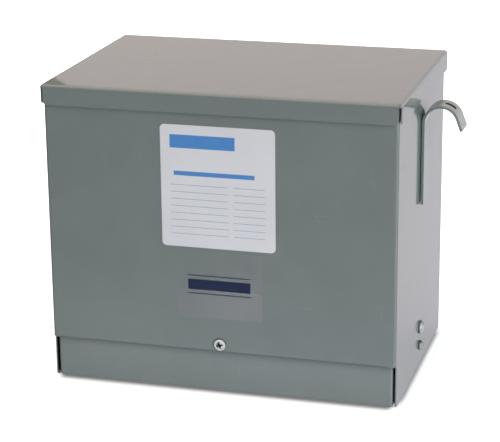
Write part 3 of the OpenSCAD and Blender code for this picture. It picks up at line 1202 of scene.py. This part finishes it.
@dataclass
class Card:
    """A flat card round the set, bright or dark, that the part's gloss shows and the camera doesn't."""

    name: str
    corners: Tuple[Point, Point, Point, Point]
    colour: Colour
    lights: bool = False

    @classmethod
    def upright(cls, name: str, y: float, x: Tuple[float, float], z: Tuple[float, float], colour: Colour,
                lights: bool = False) -> "Card":
        """Gives a card that stands across the set at y, between two ends in x and two edges in z."""
        corners = ((x[0], y, z[0]), (x[1], y, z[0]), (x[1], y, z[1]), (x[0], y, z[1]))
        return cls(name, corners, colour, lights)

    def build(self) -> None:
        """Makes the card."""
        mesh = bpy.data.meshes.new(self.name)
        mesh.from_pydata(self.corners, [], [(0, 1, 2, 3)])
        made = new_material(self.name)
        shade = Shade(made.node_tree)
        shade.surface(shade.add("ShaderNodeEmission", self.colour, 1.0))
        mesh.materials.append(made)
        card = bpy.data.objects.new(self.name, mesh)
        card.visible_camera = False
        card.visible_shadow = False
        card.visible_diffuse = self.lights
        bpy.context.scene.collection.objects.link(card)


@dataclass
class Studio:
    """White floor, soft surround, lamps, cards and camera."""

    lamps: Tuple[Softbox, ...]
    cards: Tuple[Card, ...]
    eye: Point = (0.55961, -1.96720, 0.80484)
    azimuth: float = 15.957
    elevation: float = 17.4506
    roll: float = -0.595
    lens: float = 131.740
    sensor: float = 36.0
    clip: Tuple[float, float] = (0.05, 50.0)
    floor_half: float = 9.0
    floor_gap: float = 0.02 * MM
    floor_white: Colour = (0.97, 0.97, 0.97)
    floor_bounce: Colour = (0.90, 0.90, 0.92)
    floor_mirrored: Colour = (0.53, 0.50, 0.54)
    lift_reach: Tuple[float, float] = (0.5, 1.6)
    lift: Tuple[float, float] = (0.50, 1.0)
    mirror_lift: float = 0.98
    contact_shade: float = 0.24
    contact_front: float = 11.5 * MM
    contact_side: float = 6 * MM
    contact_ends: float = 12 * MM
    contact_fade: float = 34.5 * MM
    contact_rear: float = 5.75 * MM
    board_shine: float = 2.8
    board_dark: Colour = (0.02, 0.02, 0.02)
    shine_starts: Tuple[float, float] = (-0.25, 0.05)
    shine_ends: Tuple[float, float] = (0.65, 1.0)
    gloom_ends: Tuple[float, float] = (0.20, 0.45)
    right_sky: Colour = (0.29, 0.35, 0.31)
    left_sky: Colour = (0.21, 0.24, 0.28)
    sky_blend: float = 0.6

    def build(self) -> None:
        """Makes the whole studio."""
        self._floor()
        self._surround()
        for piece in (*self.lamps, *self.cards):
            piece.build()
        self._camera()
        bpy.context.scene.view_settings.view_transform = "Standard"
        LOG.info("studio: %d lamps", len(self.lamps))

    def _floor(self) -> None:
        """Makes a plain floor that the camera sees white, with the part's shadow on it."""
        mesh = bpy.data.meshes.new("studio_floor")
        h = self.floor_half
        mesh.from_pydata([(-h, -h, 0), (h, -h, 0), (h, h, 0), (-h, h, 0)], [], [(0, 1, 2, 3)])
        floor = bpy.data.objects.new("studio_floor", mesh)
        floor.location.z = -self.floor_gap
        bpy.context.scene.collection.objects.link(floor)
        made = new_material("studio_paper")
        shade = Shade(made.node_tree)
        camera, mirror = shade.rays()
        shine, gloom = self._boards(shade)
        mirrored = shade.mix(gloom, self.floor_mirrored, self.board_dark)
        seen = shade.mix(self._contact(shade), self.floor_white, BLACK)
        colour = shade.mix(camera, shade.mix(mirror, self.floor_bounce, mirrored), seen)
        away = shade.distance(shade.place(), (0.0, 0.0, 0.0))
        seen_lift = shade.product(camera, shade.span(away, *self.lift_reach, *self.lift))
        strength = shade.more(seen_lift, mirror, shade.more(self.mirror_lift, shine, self.board_shine))
        paper = shade.add("ShaderNodeBsdfDiffuse", colour)
        lift = shade.add("ShaderNodeEmission", colour, strength)
        shade.surface(shade.add("ShaderNodeAddShader", paper.outputs[0], lift.outputs[0]))
        mesh.materials.append(made)

    def _boards(self, shade: Shade) -> Tuple[Feed, Feed]:
        """Gives two soft-edged boards on the floor that only gloss shows, so that upright bends stand out.

        Args:
            shade: the floor's tree.

        Returns:
            The pale board beside the front right corner, and the dark one on the left.
        """
        low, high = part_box("front_cover")
        x, y, _ = shade.parts(shade.place())
        ahead, right, left = shade.less(low.y, y), shade.less(x, high.x), shade.less(low.x, x)
        right_turn, left_turn = (shade.math("DIVIDE", ahead, shade.math("MAXIMUM", side, MM))
                                 for side in (right, left))
        shine = shade.product(shade.span(right_turn, *self.shine_starts),
                              shade.span(right_turn, *self.shine_ends, 1.0, 0.0),
                              shade.math("GREATER_THAN", right, 0.0))
        gloom = shade.product(shade.span(left_turn, *self.gloom_ends, 1.0, 0.0),
                              shade.math("GREATER_THAN", left, 0.0))
        return shine, gloom

    def _contact(self, shade: Shade) -> Socket:
        """Gives the close shadow round the part's foot.

        Args:
            shade: the floor's tree.

        Returns:
            How dark the paper is, most at the foot.
        """
        low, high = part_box("base_pan")[0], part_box("right_wall")[1]
        x, y, _ = shade.parts(shade.place())
        side = shade.math("ABSOLUTE", x)
        ahead, beside = shade.less(low.y, y), shade.less(side, high.x)
        dark = 1.0 - self.contact_shade
        front_band = shade.product(
            shade.span(ahead, 0.0, self.contact_front, dark, 0.0, Blend.STRAIGHT),
            shade.math("LESS_THAN", y, low.y + self.contact_front),
            shade.span(side, high.x - self.contact_ends, high.x, 1.0, 0.0))
        side_band = shade.product(
            shade.span(beside, 0.0, self.contact_side, dark, 0.0, Blend.STRAIGHT),
            shade.span(y, low.y, low.y + self.contact_fade),
            shade.span(y, high.y - self.contact_fade, high.y - self.contact_rear, 1.0, 0.0))
        return shade.math("MAXIMUM", front_band, side_band)

    def _surround(self) -> None:
        """Makes a soft surround, brighter on the right, that the camera and mirrors see white."""
        world = bpy.data.worlds.new("studio_surround")
        bpy.context.scene.world = world
        world.use_nodes = True
        shade = Shade(world.node_tree)
        right, _, _ = shade.parts(shade.add("ShaderNodeTexCoord").outputs["Generated"])
        sky = shade.mix(shade.span(right, -self.sky_blend, self.sky_blend), self.left_sky, self.right_sky)
        seen = shade.mix(shade.math("MAXIMUM", *shade.rays()), sky, WHITE)
        shade.surface(shade.add("ShaderNodeBackground", seen, 1.0), "ShaderNodeOutputWorld")

    def _camera(self) -> None:
        """Sets the camera where the photograph's edges put it."""
        a, e, r = (math.radians(v) for v in (self.azimuth, self.elevation, self.roll))
        ahead = Vector((-math.sin(a) * math.cos(e), math.cos(a) * math.cos(e), -math.sin(e)))
        level = Vector((math.cos(a), math.sin(a), 0.0))
        upright = level.cross(ahead)
        right = math.cos(r) * level + math.sin(r) * upright
        up = math.cos(r) * upright - math.sin(r) * level
        data = bpy.data.cameras.new("photo_camera")
        data.sensor_fit = "HORIZONTAL"
        data.sensor_width = self.sensor
        data.lens = self.lens
        data.clip_start, data.clip_end = self.clip
        camera = bpy.data.objects.new("photo_camera", data)
        turn = Matrix((right, up, -ahead)).transposed()
        camera.matrix_world = Matrix.Translation(self.eye) @ turn.to_4x4()
        bpy.context.scene.collection.objects.link(camera)
        bpy.context.scene.camera = camera


def rating_label() -> FlatLabel:
    """Plans the white label, with plain bars for its heads and ruled fields.

    Returns:
        The label.
    """
    heads = (Bars(left=-54, right=20, bottom=284, top=299, pitch=15, bar=15),
             Bars(left=-50, right=42, bottom=253, top=258, pitch=5, bar=5))
    fields = (Bars(left=-54, right=12, bottom=186, top=246, pitch=8, bar=0.6),
              Bars(left=18, right=54, bottom=186, top=246, pitch=8, bar=0.6))
    return FlatLabel("rating_label", PrintedVinyl("printed_vinyl", heads, fields), Slot.LABEL,
                     left=-64.9 * MM, right=65.1 * MM, bottom=171.2 * MM, top=310 * MM,
                     corner=5 * MM, thickness=0.3 * MM)


def clear_sticker() -> FlatLabel:
    """Plans the clear sticker under it, with one plain band between two rules.

    Returns:
        The sticker.
    """
    bands = (Bars(left=-36, right=36, bottom=122, top=134, pitch=12, bar=12),
             Bars(left=-36, right=36, bottom=117, top=118, pitch=1, bar=1),
             Bars(left=-36, right=36, bottom=138, top=139, pitch=1, bar=1))
    return FlatLabel("clear_sticker", ClearFilm("clear_film", bands), Slot.FILM,
                     left=-51.5 * MM, right=50.2 * MM, bottom=89 * MM, top=167 * MM,
                     corner=2.5 * MM, thickness=0.15 * MM)


def photo_studio() -> Studio:
    """Plans the set that lights the part as in the photograph.

    Returns:
        The studio.
    """
    lamps = (
        Softbox("key_box", place=(2.2, -1.2, 1.1), aim=(0.1, 0.0, 0.15), size=(1.6, 1.6),
                power=43.0, colour=(1.0, 0.94, 0.99)),
        Softbox("top_box", place=(-0.45, -0.75, 2.1), aim=(-0.45, -0.75, 0.0), size=(0.9, 4.4),
                power=29.0, colour=(1.0, 0.93, 0.78)),
        Softbox("floor_card", place=(0.05, -0.23, 0.006), aim=(0.05, -0.10, 0.11), size=(0.5, 0.06),
                power=0.17, colour=(1.0, 0.95, 1.0)),
        Softbox("left_fill", place=(-1.6, 0.9, 0.17), aim=(-0.2, 0.0, 0.17), size=(0.8, 0.3),
                power=24.0))
    cards = (
        Card.upright("back_card", 2.2, (-3.0, 3.0), (0.45, 1.9), (1.03, 0.87, 0.855), lights=True),
        Card.upright("back_flag", 2.2, (-3.0, 0.3), (0.0, 0.45), (0.10, 0.10, 0.10)),
        Card.upright("tip_card", 1.5, (0.5, 1.5), (0.10, 0.46), (1.16, 1.09, 1.12)),
        Card.upright("corner_flag", 0.57, (-1.2, -0.5), (0.62, 1.3), (0.48, 0.43, 0.34)),
        Card("over_card", ((-1.1, -2.9, 2.05), (0.5, -2.9, 2.05), (0.5, 1.4, 2.05), (-1.1, 1.4, 2.05)),
             (3.6, 2.9, 2.5)))
    return Studio(lamps, cards)


def main() -> None:
    """Dresses the part, sets the studio and reports each piece."""
    logging.basicConfig(level=logging.INFO, format="%(name)s: %(message)s")
    effects = Effects()
    for assembly in (SheetCase(), LiftingHooks(), Fasteners(), Core()):
        assembly.dress(effects)
    for label in (rating_label(), clear_sticker()):
        label.build(effects)
    photo_studio().build()


if __name__ == "__main__":
    main()
